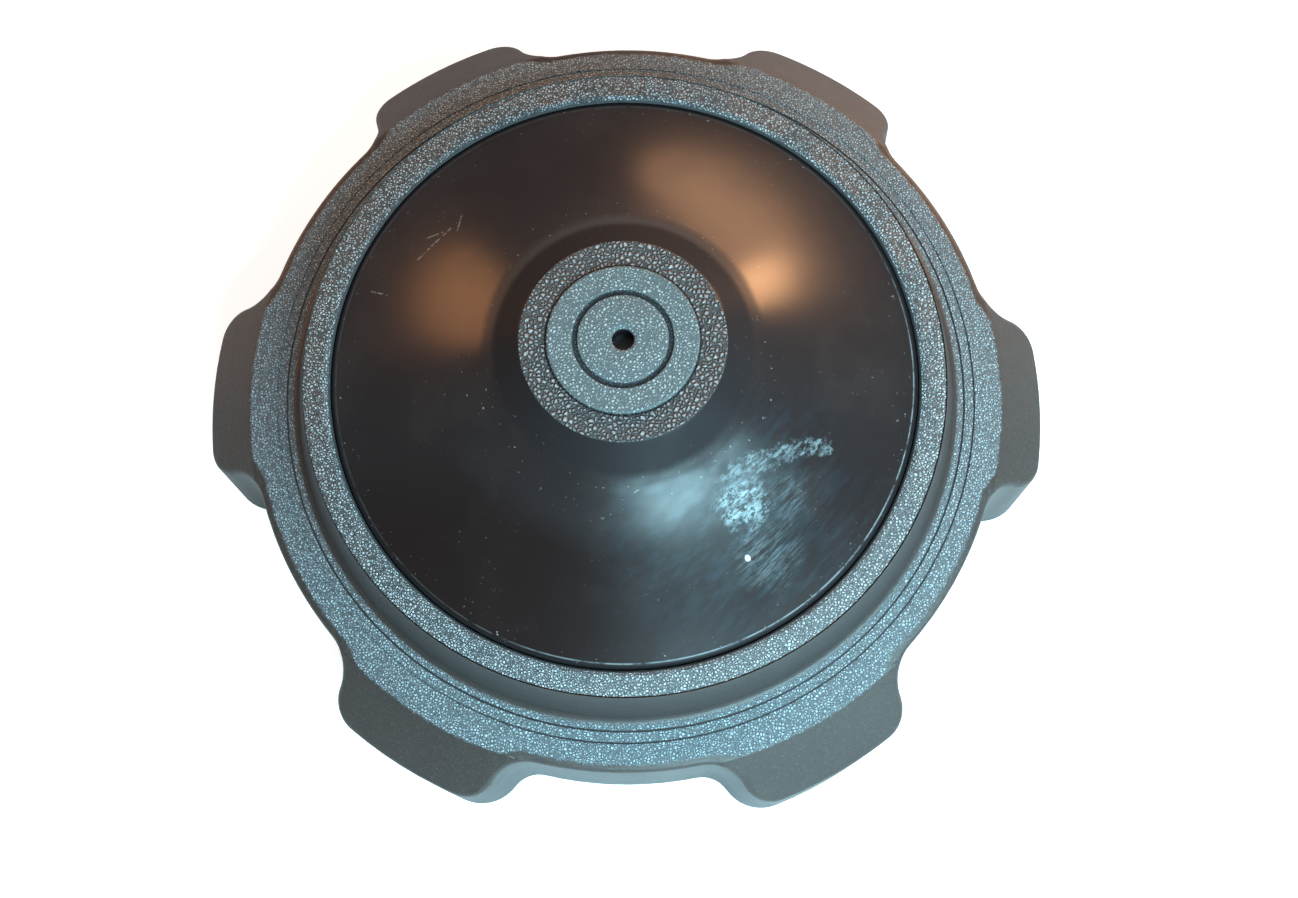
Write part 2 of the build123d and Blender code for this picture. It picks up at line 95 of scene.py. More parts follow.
# ---------------------------------------------------------------- shader arithmetic
class Wire:
    """A shader socket that can stand in a sum, so that a mask reads as a plain formula."""

    def __init__(self, tree, socket):
        self.tree = tree
        self.socket = socket

    def node(self, kind, settings, values, output=0):
        """Adds one node: its settings first, then the numbers or wires of its sockets."""
        new = self.tree.nodes.new(kind)
        for name, value in settings.items():
            setattr(new, name, value)
        for key, value in values.items():
            target = new.inputs[key]
            if isinstance(value, Wire):
                self.tree.links.new(value.socket, target)
            else:
                target.default_value = value
        return Wire(self.tree, new.outputs[output])

    def maths(self, operation, *values):
        """A Math node on wires and numbers."""
        return self.node("ShaderNodeMath", {"operation": operation}, dict(enumerate(values)))

    def __add__(self, other):
        return self.maths("ADD", self, other)

    def __radd__(self, other):
        return self.maths("ADD", other, self)

    def __sub__(self, other):
        return self.maths("SUBTRACT", self, other)

    def __rsub__(self, other):
        return self.maths("SUBTRACT", other, self)

    def __mul__(self, other):
        return self.maths("MULTIPLY", self, other)

    def __rmul__(self, other):
        return self.maths("MULTIPLY", other, self)

    def __truediv__(self, other):
        return self.maths("DIVIDE", self, other)

    def __rtruediv__(self, other):
        return self.maths("DIVIDE", other, self)

    def __pow__(self, other):
        return self.maths("POWER", self, other)

    def __neg__(self):
        return self.maths("MULTIPLY", self, -1.0)

    def low(self, other):
        """The lower of two."""
        return self.maths("MINIMUM", self, other)

    def high(self, other):
        """The higher of two."""
        return self.maths("MAXIMUM", self, other)

    def rise(self, start, end):
        """0 below start, 1 above end, smooth between; start may be above end."""
        return self.node("ShaderNodeMapRange", {"interpolation_type": "SMOOTHSTEP"},
                         {"Value": self, "From Min": start, "From Max": end, "To Min": 0.0, "To Max": 1.0})

    def band(self, start, end, soft):
        """1 between start and end."""
        return self.rise(start - soft, start + soft) * self.rise(end + soft, end - soft)


class Finish:
    """A material under construction: its shader, its place on the surface and its noises."""

    def __init__(self, name, colour, roughness, **constants):
        self.material = bpy.data.materials.new(name)
        self.material.use_nodes = True
        self.material.diffuse_color = (*colour, 1)
        self.tree = self.material.node_tree
        self.shader = self.tree.nodes["Principled BSDF"]
        self.shader.inputs["Base Color"].default_value = (*colour, 1)
        self.shader.inputs["Roughness"].default_value = roughness
        for socket, value in constants.items():
            self.shader.inputs[socket.replace("_", " ")].default_value = value
        self.wire = Wire(self.tree, None)
        self.place = self.wire.node("ShaderNodeTexCoord", {}, {}, 3)
        self.x = self.wire.node("ShaderNodeSeparateXYZ", {}, {0: self.place})
        self.y = Wire(self.tree, self.x.socket.node.outputs[1])
        self.z = Wire(self.tree, self.x.socket.node.outputs[2])
        self.r = (self.x * self.x + self.y * self.y) ** 0.5

    def noise(self, size, detail=2.0, rough=0.5, place=None):
        """Soft noise from 0 to 1 whose features are about size metres across."""
        return self.wire.node("ShaderNodeTexNoise", {}, {
            "Vector": place or self.place, "Scale": 1 / size, "Detail": detail, "Roughness": rough})

    def ragged(self, size, reach, detail=4.0, rough=0.7):
        """A distance that wanders by up to half of reach either way, to fray an edge."""
        return (self.noise(size, detail, rough) - 0.5) * reach

    def pebbles(self, size, place=None):
        """Cells packed side by side: 0 in the gaps between them, rising to 1 on their tops."""
        values = {"Vector": place or self.place, "Scale": 1 / size}
        gap = self.wire.node("ShaderNodeTexVoronoi", {"feature": "DISTANCE_TO_EDGE"}, values)
        return gap.rise(0.0, 0.38)

    def vector_maths(self, operation, values):
        """A Vector Math node."""
        return self.wire.node("ShaderNodeVectorMath", {"operation": operation}, values)

    def place_shaken(self, size, reach):
        """The place, pushed about by noise, so that cells lose their straight sides."""
        colour = Wire(self.tree, self.noise(size).socket.node.outputs[1])
        push = self.vector_maths("SUBTRACT", {0: colour, 1: (0.5, 0.5, 0.5)})
        push = self.vector_maths("SCALE", {0: push, "Scale": reach})
        return self.vector_maths("ADD", {0: self.place, 1: push})

    def stretched(self, turn, length):
        """The place for marks that run one way: drawn out along Y, then turned about Z."""
        return self.wire.node("ShaderNodeMapping", {"vector_type": "TEXTURE"}, {
            "Vector": self.place, "Rotation": (0, 0, radians(turn)), "Scale": (1.0, length, 1.0)})

    def scratch(self, start, end, width, wobble=None):
        """1 along a straight mark between two points of the plan."""
        run_x, run_y = end[0] - start[0], end[1] - start[1]
        dx = self.x - start[0]
        dy = self.y - start[1]
        share = ((dx * run_x + dy * run_y) / (run_x ** 2 + run_y ** 2)).high(0.0).low(1.0)
        away_x = dx - share * run_x
        away_y = dy - share * run_y
        away = (away_x * away_x + away_y * away_y) ** 0.5
        if wobble is not None:
            away = away + wobble
        return away.rise(width, width * 0.4)

    def near(self, point, radius, soft, wobble):
        """1 within radius of a point of the plan."""
        dx = self.x - point[0]
        dy = self.y - point[1]
        away = (dx * dx + dy * dy) ** 0.5 + wobble
        return away.rise(radius + soft, radius - soft)

    def mix(self, share, first, second):
        """A colour between two, each a wire or three numbers."""
        values = {"Factor": share}
        for key, colour in ((6, first), (7, second)):
            values[key] = colour if isinstance(colour, Wire) else (*colour, 1)
        return self.wire.node("ShaderNodeMix", {"data_type": "RGBA"}, values, 2)

    def bump(self, height, distance):
        """A normal tilted by a height from 0 to 1 that stands for distance metres."""
        return self.wire.node("ShaderNodeBump", {}, {"Height": height, "Distance": distance})

    def set(self, **wires):
        """Links wires to the shader's sockets."""
        for socket, wire in wires.items():
            self.tree.links.new(wire.socket, self.shader.inputs[socket.replace("_", " ")])
        return self.material


# ---------------------------------------------------------------- finishes
def grained_deck(f):
    """1 on the sloping deck. Its ragged edge runs further out on the lobes than between them."""
    turn = f.wire.maths("ARCTAN2", f.y, f.x)
    wave = f.wire.maths("COSINE", turn * float(lobe_count))
    edge = wave.rise(-0.1, 0.35) * (deck_edge - deck_edge_between_lobes) + deck_edge_between_lobes
    deck = (edge + f.ragged(0.9 * MM, 0.6 * MM, 3.0, 0.5) - f.r).rise(-0.15 * MM, 0.25 * MM)
    return deck * f.r.rise(cove_end - 0.4 * MM, cove_end + 0.2 * MM) * f.z.rise(*deck_heights)


def groove_shade_mask(f):
    """1 in the deck's two grooves, where shade is painted. The outer one's painted shade fades towards the
    upper left.
    """
    inner, outer = deck_grooves
    inner_half, outer_half, soft = 0.11 * MM, 0.09 * MM, 0.04 * MM
    faded = (f.x - f.y).rise(-10 * MM, 45 * MM) * 0.75 + 0.25
    groove_shade = f.r.band(inner - inner_half, inner + inner_half, soft)
    groove_shade = groove_shade + f.r.band(outer - outer_half, outer + outer_half, soft) * faded
    return groove_shade * f.z.rise(*deck_heights)


def grip_plastic():
    """Black moulding: grain on the deck and rim whose tops are painted pale as glints, satin elsewhere,
    dulled by handling, with painted shade in the grooves, the fillet below the rim and the rim's inner
    edge.
    """
    f = Finish("grip_plastic", (0.075, 0.078, 0.08), 0.42, Specular_IOR_Level=0.55)
    rim = f.r.band(rim_inner + 0.22 * MM, rim_outer - 0.1 * MM, 0.08 * MM) * f.z.rise(*rim_heights)
    # painted shade: a thin ring at the rim's inner edge, beside the gap to the dome, is darkened
    lip_shade = f.r.rise(rim_inner + 0.30 * MM, rim_inner + 0.16 * MM) * f.z.rise(*lip_shade_heights)
    grained = grained_deck(f).high(rim)
    plain = 1 - grained
    groove_shade = groove_shade_mask(f)

    height = f.pebbles(0.34 * MM) * 0.45 + f.noise(0.27 * MM, 3.0, 0.65) * 0.9
    satin = f.noise(0.30 * MM, 3.0, 0.6) * 0.26 + f.noise(2.6 * MM, 2.0) * 0.06
    level = (f.r - rim_inner) * (-0.65 / grain_depth) * rim
    normal = f.bump(height * grained * (1 - groove_shade) + satin * plain + level, grain_depth)

    patches = f.noise(14 * MM, 3.0, 0.55).rise(0.35, 0.7)
    flecks = f.noise(0.32 * MM, 3.0, 0.7).rise(0.50, 0.72) * plain
    # painted shade: the smooth fillet between the rim and the deck is darkened
    cove_shade = f.r.band(rim_outer + 0.2 * MM, cove_end - 0.5 * MM, 0.4 * MM) * plain
    # painted highlights: the grain's tops are paler, standing in for glints of the lamps
    glint_tips = height.rise(0.55, 0.92) * grained
    base = f.mix(patches * 0.5, (0.034, 0.024, 0.0205), (0.047, 0.036, 0.031))
    base = f.mix(flecks * 0.45, base, (0.104, 0.093, 0.084))
    base = f.mix(cove_shade * 0.6, base, (0.026, 0.021, 0.021))
    base = f.mix(grained * 0.9, base, f.mix(rim, (0.076, 0.094, 0.103), (0.057, 0.063, 0.066)))
    base = f.mix(glint_tips * 0.8, base, f.mix(rim, (0.42, 0.51, 0.54), (0.55, 0.59, 0.60)))
    base = f.mix(lip_shade * 0.9, base, (0.018, 0.021, 0.023))
    # painted shade: the deck's grooves are darkened
    base = f.mix(groove_shade, base, (0.010, 0.013, 0.016))
    dull = f.noise(4.0 * MM, 4.0, 0.6) - 0.5
    roughness = 0.44 - grained * 0.10 + dull * 0.12 + lip_shade * 0.25
    return f.set(Base_Color=base, Roughness=roughness, Normal=normal)


def dome_scuffs(f):
    """White scuffs torn by a rub across the slope below the boss, with fine streaks beside them."""
    patch_middle = (13.9 * MM, -16.9 * MM)
    arc_start, arc_end = (12.9 * MM, -13.6 * MM), (18.6 * MM, -10.8 * MM)
    tail_start, tail_end = (19.5 * MM, -10.4 * MM), (23.6 * MM, -9.6 * MM)
    beside_middle = (19.2 * MM, -15.6 * MM)
    lower_middle = (16.8 * MM, -22.4 * MM)
    torn = f.noise(0.65 * MM, 5.0, 0.8, place=f.stretched(-42, 1.6)).rise(0.44, 0.54)
    streaks = f.noise(0.38 * MM, 4.0, 0.8, place=f.stretched(-45, 9.0)).rise(0.42, 0.62)
    ragged = f.ragged(2.0 * MM, 5 * MM)
    frayed = f.ragged(1.5 * MM, 4 * MM)
    patch = f.near(patch_middle, 2.6 * MM, 1.4 * MM, ragged)
    arc = f.scratch(arc_start, arc_end, 1.3 * MM, frayed)
    arc = arc.high(f.scratch(tail_start, tail_end, 1.2 * MM, frayed)) * 0.5
    beside = f.near(beside_middle, 2.0 * MM, 1.6 * MM, ragged) * 0.20
    lower = f.near(lower_middle, 3.0 * MM, 2.2 * MM, ragged) * 0.22
    scuff = patch.high(arc) * torn * (streaks * 0.7 + 0.3) + (lower + beside) * streaks
    return scuff.low(1.0)


def dome_smear_and_sheen(f):
    """A thin film wiped over the slope around the scuffs, whose cool blue tint is a painted sheen."""
    smear_middle = (14 * MM, -19 * MM)
    rubbed = f.noise(0.9 * MM, 4.0, 0.7, place=f.stretched(-42, 5.0)).rise(0.4, 0.75)
    wobble = f.ragged(5 * MM, 9 * MM, rough=0.65)
    return f.near(smear_middle, 13 * MM, 8 * MM, wobble) * rubbed * f.r.rise(14.6 * MM, 16 * MM)


def dome_hairs(f):
    """Fine broken scratches on the upper left of the dome."""
    marks = (((-26.0, 12.5), (-21.5, 17.0), 0.16), ((-20.6, 16.6), (-20.2, 19.0), 0.14),
             ((-31.0, 9.5), (-29.0, 8.8), 0.14), ((-24.5, 16.0), (-22.5, 16.6), 0.12))
    hairs = []
    for start, end, width in marks:
        start, end = [(x * MM, y * MM) for x, y in (start, end)]
        hairs.append(f.scratch(start, end, width * MM))
    return sum(hairs[1:], hairs[0]).low(1.0) * f.noise(0.5 * MM, 2.0).rise(0.40, 0.58)


def dome_dust(f, haze):
    """Pale specks, most of them around the foot of the boss and along the edge."""
    specks = f.noise(0.45 * MM, 1.0).rise(0.72, 0.78)
    foot = f.r.band(15.5 * MM, 18.5 * MM, 2 * MM) * 0.9
    zone = foot + f.r.rise(32 * MM, 35 * MM) * 0.7 + haze * 0.3
    return specks * zone.low(1.0)


def dome_plastic():
    """Glossy black moulding, hazed and scuffed, with a pebbled boss and a fine-grained medallion. Shade is
    painted on the boss's side, the front of the dish, the edge gap and the medallion's grooves, and
    highlights on the dish's edge and the bead tops.
    """
    f = Finish("dome_plastic", (0.02, 0.02, 0.022), 0.2, Specular_IOR_Level=0.12, Coat_Roughness=0.23)
    chip_middle = (14.6 * MM, -22.7 * MM)
    edge_highlight_band = (34.82 * MM, 34.96 * MM)
    on_top = f.z.rise(*boss_heights)
    on_dish = 1 - on_top
    medallion = f.r.rise(medallion_radius + 0.05 * MM, medallion_radius - 0.05 * MM) * on_top
    ground = on_top * (1 - medallion)
    groove = f.r.band(*medallion_groove, 0.06 * MM) * on_top
    crease_shade = f.r.band(medallion_radius - 0.02 * MM, medallion_radius + 0.22 * MM, 0.08 * MM) * on_top
    shaded_flank = f.r.rise(15.6 * MM, 14.4 * MM) * on_dish
    # painted shade: the dome's outer edge and skirt, in the gap to the rim, are made near black
    gap = f.r.rise(35.1 * MM, 35.25 * MM)
    front = f.y.rise(4 * MM, -10 * MM)
    outer = f.r.rise(19 * MM, 24 * MM) * front

    beads = f.pebbles(0.50 * MM, f.place_shaken(0.8 * MM, 0.30 * MM)) * (0.3 + f.noise(0.7 * MM))
    fine = f.noise(0.26 * MM, 2.0, 0.6) * 0.8 + f.pebbles(0.36 * MM) * 0.4
    height = beads * 2.4 * ground + fine * 0.7 * medallion + f.noise(5 * MM, 2.0) * 0.10
    haze = f.noise(11 * MM, 4.0, 0.6).rise(0.42, 0.72)
    scuff = dome_scuffs(f)
    dust = dome_dust(f, haze) * on_dish
    chip = f.near(chip_middle, 0.30 * MM, 0.10 * MM, f.ragged(0.6 * MM, 0.6 * MM, 2.0, 0.5))
    # painted highlight: a pale broken line along the dome's edge, strongest towards the lower right
    edge = f.r.band(*edge_highlight_band, 0.06 * MM) * f.noise(2.4 * MM, 5.0, 0.75).rise(0.34, 0.58)
    edge = edge * ((f.x - f.y).rise(8 * MM, 42 * MM) * 0.85 + 0.15)

    base = f.mix(haze * 0.5, (0.020, 0.015, 0.015), (0.032, 0.024, 0.023))
    # painted shade: the front of the dish outside about 19 mm is darkened, most towards the front
    base = f.mix(outer * f.y.rise(-6 * MM, -22 * MM) * 0.65, base, (0.011, 0.005, 0.004))
    # painted shade: the boss's steep side is darker
    base = f.mix(shaded_flank * 0.6, base, (0.012, 0.010, 0.011))
    # a wiped film, partly real; its cool blue tint is painted sheen of the cool lamps
    base = f.mix(dome_smear_and_sheen(f) * 0.50, base, (0.027, 0.045, 0.058))
    base = f.mix(scuff * 0.88, base, (0.34, 0.43, 0.45))
    base = f.mix(dome_hairs(f) * 0.45, base, (0.34, 0.31, 0.28))
    base = f.mix(dust * 0.55, base, (0.42, 0.37, 0.34))
    base = f.mix(chip, base, (0.85, 0.82, 0.84))
    base = f.mix(on_top, base, (0.067, 0.066, 0.066))
    # painted highlights: the tops of the boss's beads are pale, the gaps between them stay dark
    base = f.mix(beads.rise(0.1, 0.55) * ground, base, (0.33, 0.29, 0.28))
    base = f.mix(medallion, base, (0.103, 0.117, 0.119))
    base = f.mix(fine.rise(0.52, 0.85) * medallion * 0.85, base, (0.42, 0.455, 0.45))
    # painted shade: the medallion's ring groove and a thin ring round its foot are darkened
    base = f.mix(groove.high(crease_shade) * 0.9, base, (0.016, 0.018, 0.020))
    base = f.mix(edge * 0.8, base, (0.24, 0.27, 0.28))
    base = f.mix(gap, base, (0.006, 0.006, 0.007))
    roughness = 0.3 + haze * 0.1 + scuff * 0.3 + dust * 0.3 + gap * 0.4 + shaded_flank * 0.35
    cloudy = f.noise(7 * MM, 4.0, 0.6, place=f.stretched(-42, 2.0)).rise(0.35, 0.62)
    gloss = (1 - cloudy * 0.7 * front - haze * 0.2) * on_dish * (1 - shaded_flank * 0.8)
    gloss = gloss * (1 - gap) * (1 - outer * 0.85)
    return f.set(Base_Color=base, Roughness=roughness, Coat_Weight=gloss * 0.6,
                 Normal=f.bump(height, 0.20 * MM))


def seal_rubber():
    """Matt nitrile rubber with a bloom."""
    f = Finish("seal_rubber", (0.03, 0.03, 0.032), 0.7)
    bloom = f.noise(5 * MM, 4.0, 0.6)
    base = f.mix(bloom.rise(0.4, 0.75) * 0.6, (0.022, 0.022, 0.024), (0.055, 0.055, 0.058))
    normal = f.bump(f.noise(0.3 * MM, 3.0), 0.03 * MM)
    return f.set(Base_Color=base, Roughness=0.62 + bloom * 0.2, Normal=normal)


def cover_plastic():
    """Satin black moulding of the hidden parts, with faint flow marks."""
    f = Finish("cover_plastic", (0.05, 0.05, 0.053), 0.45)
    flow = f.noise(9 * MM, 3.0, 0.6, place=f.stretched(0, 2.5))
    base = f.mix(flow.rise(0.35, 0.7), (0.04, 0.04, 0.043), (0.065, 0.064, 0.066))
    normal = f.bump(f.noise(0.35 * MM, 3.0), 0.02 * MM)
    return f.set(Base_Color=base, Roughness=0.4 + flow * 0.16, Normal=normal)


def valve_plastic():
    """Natural acetal, slightly fuel-stained."""
    f = Finish("valve_plastic", (0.66, 0.65, 0.6), 0.35)
    stain = f.noise(3 * MM, 4.0, 0.6).rise(0.45, 0.75)
    base = f.mix(stain * 0.6, (0.66, 0.65, 0.6), (0.5, 0.43, 0.3))
    normal = f.bump(f.noise(0.3 * MM, 2.0), 0.01 * MM)
    return f.set(Base_Color=base, Roughness=0.32 + stain * 0.15, Normal=normal)


def slip_film():
    """Smooth natural polyethylene, slightly cloudy."""
    f = Finish("slip_film", (0.72, 0.73, 0.72), 0.3)
    cloud = f.noise(0.4 * MM)
    base = f.mix(cloud.rise(0.4, 0.7) * 0.3, (0.72, 0.73, 0.72), (0.55, 0.55, 0.53))
    return f.set(Base_Color=base, Roughness=0.26 + cloud * 0.12, Normal=f.bump(cloud, 0.01 * MM))


def filter_foam():
    """Open-cell foam."""
    f = Finish("filter_foam", (0.09, 0.09, 0.1), 0.9)
    cells = f.pebbles(0.7 * MM)
    # painted shade: the sunken pores between the foam's strands are dark
    base = f.mix(cells, (0.16, 0.16, 0.17), (0.02, 0.02, 0.022))
    return f.set(Base_Color=base, Roughness=0.8 + cells * 0.2, Normal=f.bump(-cells, 0.3 * MM))


def spring_steel():
    """Drawn stainless wire and stampings."""
    f = Finish("spring_steel", (0.55, 0.55, 0.53), 0.3, Metallic=1.0)
    draw = f.noise(0.5 * MM, 3.0, 0.6, place=f.stretched(20, 10.0))
    base = f.mix(draw.rise(0.35, 0.7), (0.5, 0.5, 0.48), (0.64, 0.63, 0.6))
    return f.set(Base_Color=base, Roughness=0.25 + draw * 0.18, Normal=f.bump(draw, 0.01 * MM))


FINISHES = {
    "grip_plastic": grip_plastic(), "dome_plastic": dome_plastic(), "seal_rubber": seal_rubber(),
    "cover_plastic": cover_plastic(), "valve_plastic": valve_plastic(), "slip_film": slip_film(),
    "filter_foam": filter_foam(), "spring_steel": spring_steel(),
}


def paint(piece, finish):
    """Gives a piece one finish all over."""
    piece.data.materials.clear()
    piece.data.materials.append(FINISHES[finish])


SLOT_OF = {part["node"]: part["material_slot"] for part in frame["record"]["subparts"]}
for node_name, node in NODES.items():
    paint(node, SLOT_OF[node_name])


# ---------------------------------------------------------------- pieces
def body_of_node(node_name):
    """The body that a node moves with."""
    for body, members in frame["record"]["behaviour"]["bodies"].items():
        if node_name in members:
            return body


def stand_for(piece, node_name):
    """Gives a piece its node's finish and body, and shows it instead of the node."""
    paint(piece, SLOT_OF[node_name])
    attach(piece, body_of_node(node_name))
    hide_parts(node_name)


def select_only(piece):
    """Selects one piece, makes it active and leaves the others alone."""
    bpy.ops.object.select_all(action="DESELECT")
    piece.select_set(True)
    bpy.context.view_layer.objects.active = piece


def weigh_normals(piece):
    """Broad faces keep their own shading, and the narrow rounds between them take the turn."""
    weigh = piece.modifiers.new("weigh", "WEIGHTED_NORMAL")
    weigh.keep_sharp = True
    weigh.weight = 100
    bpy.ops.object.modifier_apply(modifier=weigh.name)


def section_ring(name, outline):
    """A closed (radius, height) outline as a ring of edges beside the Z axis."""
    bpy.ops.object.select_all(action="DESELECT")
    bpy.ops.mesh.primitive_circle_add(vertices=len(outline), radius=1, location=(0, 0, 0))
    piece = bpy.context.active_object
    piece.name = name
    for vertex, (radius, height) in zip(piece.data.vertices, outline):
        vertex.co = (radius, 0, height)
    return piece


def spun(name, outline, steps):
    """A closed (radius, height) outline spun about Z into a solid."""
    piece = section_ring(name, outline)
    bpy.ops.object.mode_set(mode="EDIT")
    bpy.ops.mesh.select_all(action="SELECT")
    bpy.ops.mesh.spin(steps=steps, angle=2 * pi, center=(0, 0, 0), axis=(0, 0, 1))
    bpy.ops.mesh.select_all(action="SELECT")
    bpy.ops.mesh.remove_doubles(threshold=merge_distance)
    bpy.ops.mesh.normals_make_consistent(inside=False)
    bpy.ops.object.mode_set(mode="OBJECT")
    return piece


def spun_piece(node_name, outline, steps, edge_round):
    """A spun solid with its sharp edges slightly rounded, that stands for a node."""
    piece = spun(node_name + "_spun", outline, steps)
    soften = piece.modifiers.new("soften", "BEVEL")
    soften.width = edge_round
    soften.segments = 3
    soften.limit_method = "ANGLE"
    soften.angle_limit = radians(18)
    bpy.ops.object.modifier_apply(modifier=soften.name)
    bpy.ops.object.shade_smooth_by_angle(angle=radians(35))
    weigh_normals(piece)
    stand_for(piece, node_name)


def hollow_slope(start, end, sag, count):
    """Points along a slope that hangs slightly below the straight line between its ends."""
    points = []
    for i in range(1, count):
        share = i / count
        radius = start[0] + (end[0] - start[0]) * share
        height = start[1] + (end[1] - start[1]) * share - 4 * sag * share * (1 - share)
        points.append((radius, height))
    return points


def dome_outline():
    """The dome's closed outline from the vent hole outwards over the top and back underneath."""
    vent_round = 0.25 * MM
    groove_depth = 0.3 * MM
    groove_side = 0.05 * MM
    medallion_round = 0.2 * MM
    shoulder_drop = 0.3 * MM
    roof = boss_top - dome_wall
    base = (boss_base, boss_base_top)
    edge = (dome_edge, dome_edge_top)
    inner_edge = (dome_edge - dome_wall, dome_edge_top - 0.6 * dome_wall)
    inner_base = (boss_base - dome_wall / 2, boss_base_top - dome_wall)
    groove_start, groove_end = medallion_groove
    groove_floor = medallion_top - groove_depth

    vent = [(vent_hole, medallion_top - vent_round), (vent_hole + vent_round, medallion_top)]
    groove = [(groove_start, medallion_top), (groove_start + groove_side, groove_floor),
              (groove_end - groove_side, groove_floor), (groove_end, medallion_top)]
    medallion = [(medallion_radius - medallion_round, medallion_top),
                 (medallion_radius, medallion_top - medallion_round), (medallion_radius, boss_top)]
    boss = [(boss_radius, boss_top), (boss_shoulder, boss_top - shoulder_drop), base]
    dish = hollow_slope(base, edge, dish_sag, 16)
    skirt = [edge, (dome_edge, dome_skirt), (dome_edge - dome_wall, dome_skirt), inner_edge]
    underside = hollow_slope(inner_edge, inner_base, dish_sag, 8)
    roof_line = [inner_base, (boss_radius - dome_wall / 2, roof), (vent_hole, roof)]
    return vent + groove + medallion + boss + dish + skirt + underside + roof_line


def cut_deck_grooves(shell):
    """The fine turned grooves that run around the sloping deck."""
    for radius in deck_grooves:
        deck = deck_edge_height + (deck_edge - radius) * tan(deck_slope)
        inner, outer = radius - deck_groove_width / 2, radius + deck_groove_width / 2
        low, high = deck - deck_groove_depth, deck + deck_groove_depth
        outline = [(inner, low), (outer, low), (outer, high), (inner, high)]
        cutter = spun("groove_cutter", outline, steps=240)
        select_only(shell)
        cut = shell.modifiers.new("groove", "BOOLEAN")
        cut.operation = "DIFFERENCE"
        cut.solver = "EXACT"
        cut.object = cutter
        bpy.ops.object.modifier_apply(modifier=cut.name)
        bpy.data.objects.remove(cutter)


def smooth_copy(node_name, angle):
    """A merged copy of a solid, shaded smooth except at its real edges, that stands for it."""
    source = NODES[node_name]
    piece = bpy.data.objects.new(node_name + "_skin", source.data.copy())
    bpy.context.collection.objects.link(piece)
    select_only(piece)
    bpy.ops.object.mode_set(mode="EDIT")
    bpy.ops.mesh.select_all(action="SELECT")
    bpy.ops.mesh.remove_doubles(threshold=merge_distance)
    bpy.ops.object.mode_set(mode="OBJECT")
    if node_name == "grip_shell":
        cut_deck_grooves(piece)
    bpy.ops.object.shade_smooth_by_angle(angle=radians(angle))
    weigh_normals(piece)
    stand_for(piece, node_name)


def wound_piece(name, outline, pitch, turns, steps):
    """A closed (radius, height) outline wound about Z like a thread, with its two ends closed."""
    piece = section_ring(name, outline)
    screw = piece.modifiers.new("wind", "SCREW")
    screw.axis = "Z"
    screw.angle = 2 * pi
    screw.screw_offset = pitch
    screw.iterations = turns
    screw.steps = steps
    screw.render_steps = steps
    bpy.ops.object.modifier_apply(modifier=screw.name)
    bpy.ops.object.mode_set(mode="EDIT")
    bpy.ops.mesh.select_all(action="SELECT")
    bpy.ops.mesh.remove_doubles(threshold=fine_merge_distance)
    bpy.ops.mesh.select_all(action="DESELECT")
    bpy.ops.mesh.select_mode(type="EDGE")
    bpy.ops.mesh.select_non_manifold(extend=False)
    bpy.ops.mesh.edge_face_add()
    bpy.ops.mesh.select_all(action="SELECT")
    bpy.ops.mesh.normals_make_consistent(inside=False)
    bpy.ops.object.mode_set(mode="OBJECT")
    bpy.ops.object.shade_smooth_by_angle(angle=radians(40))
    return piece


def neck_thread(start, pitch, turns, ridge, crest, root, steps):
    """The cap's female thread: a ridge wound inside the bore, its root sunk slightly into the wall."""
    wall = bore_radius + 0.05 * MM
    tip = bore_radius - ridge
    outline = [(wall, start - root / 2), (wall, start + root / 2),
               (tip, start + crest / 2), (tip, start - crest / 2)]
    piece = wound_piece("neck_thread", outline, pitch, turns, steps)
    piece.data.materials.append(FINISHES["grip_plastic"])
    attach(piece, "cap")


def wire_spring(node_name, wire, turns):
    """A round-wire coil that fills its node's height and rides on its node's body."""
    sides_of_wire = 12
    steps_of_turn = 64
    low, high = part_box(node_name)
    length = high[2] - low[2]
    half = wire / 2
    outline = []
    for i in range(sides_of_wire):
        turn = 2 * pi * i / sides_of_wire
        outline.append((high[0] - half + half * cos(turn), low[2] + half + half * sin(turn)))
    piece = wound_piece(node_name + "_wire", outline, (length - wire) / turns, turns, steps_of_turn)
    stand_for(piece, node_name)
    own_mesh(piece)


for name in NODES:
    if name == "dome_insert":
        spun_piece(name, dome_outline(), steps=180, edge_round=0.12 * MM)
    elif not name.endswith("_spring"):
        smooth_copy(name, angle=24)
wire_spring("pressure_spring", wire=0.9 * MM, turns=3)
wire_spring("vacuum_spring", wire=0.6 * MM, turns=3)
neck_thread(start=1.6 * MM, pitch=4.2 * MM, turns=2, ridge=1.35 * MM, crest=0.9 * MM, root=2.2 * MM,
            steps=96)


# ---------------------------------------------------------------- floor, lamps, camera
def studio_floor():
    """Plain pale floor with the cap's shadow on it, that the camera sees as white further out."""
    bpy.ops.object.select_all(action="DESELECT")
    bpy.ops.mesh.primitive_plane_add(size=6, location=(0, 0, 0))
    floor = bpy.context.active_object
    floor.name = "studio_floor"
    f = Finish("studio_floor", (0.7, 0.7, 0.7), 0.9, Specular_IOR_Level=0.0, Emission_Strength=1.0)
    seen_directly = f.wire.node("ShaderNodeLightPath", {}, {}, 0)
    far = f.r.rise(0.15, 0.7)
    glow = f.mix(seen_directly * (far * 0.35 + 0.7), (0, 0, 0), (1, 1, 1))
    floor.data.materials.append(f.set(Emission_Color=glow))


